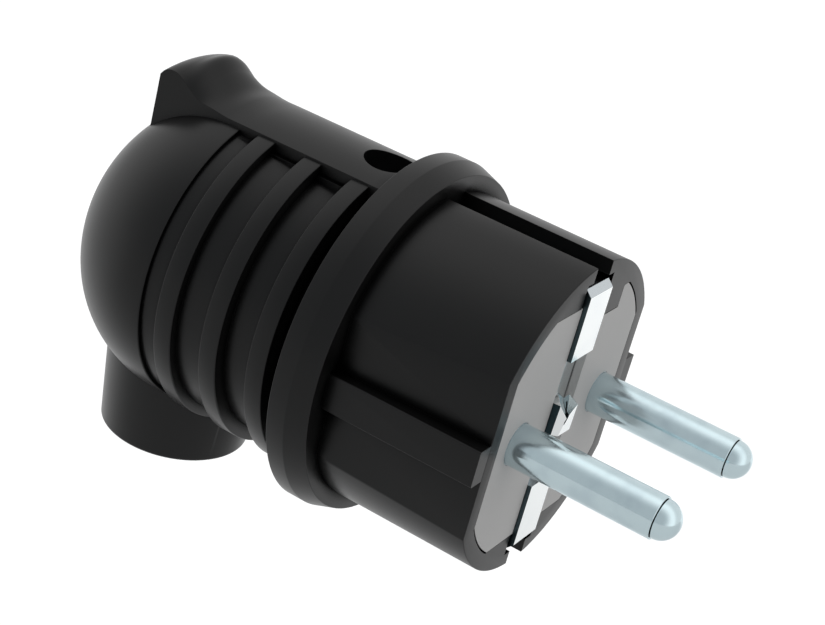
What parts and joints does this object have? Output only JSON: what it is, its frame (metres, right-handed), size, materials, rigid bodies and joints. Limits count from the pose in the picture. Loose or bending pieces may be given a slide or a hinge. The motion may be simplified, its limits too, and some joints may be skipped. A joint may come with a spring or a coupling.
{
  "type": "angled mains plug",
  "caption": "Rewirable angled mains plug, black moulded housing, grey contact face, round pins, side earth strips and a cable collar.",
  "frame": {"origin": "centre of the front face, between the two pins", "axes": "-Y along the pins, +Z towards the thumb tab, -Z along the cable outlet"},
  "size_m": [0.0422, 0.0804, 0.0467],
  "materials": {
    "black_plastic": "satin moulded",
    "grey_plastic": "fine matt moulded",
    "plated_brass": "bright nickel plate",
    "plated_strip": "bright nickel plated strip",
    "brass": "machined",
    "steel": "zinc plated",
    "rubber": "matt"
  },
  "bodies": {
    "root": {"hood": "black_plastic", "front_shell": "black_plastic", "contact_carrier": "grey_plastic", "pin_retainer": "grey_plastic", "pin_left": "plated_brass", "pin_right": "plated_brass", "earth_bow": "plated_strip", "earth_clip": "plated_strip", "earth_terminal": "plated_brass", "terminal_screws": "steel", "clamp_plates": "brass", "carrier_screws": "steel", "housing_screw": "steel", "housing_nut": "brass", "seal_ring": "rubber", "entry_bush": "rubber", "cord_clamp": "grey_plastic", "cord_clamp_screws": "steel"}
  },
  "joints": []
}
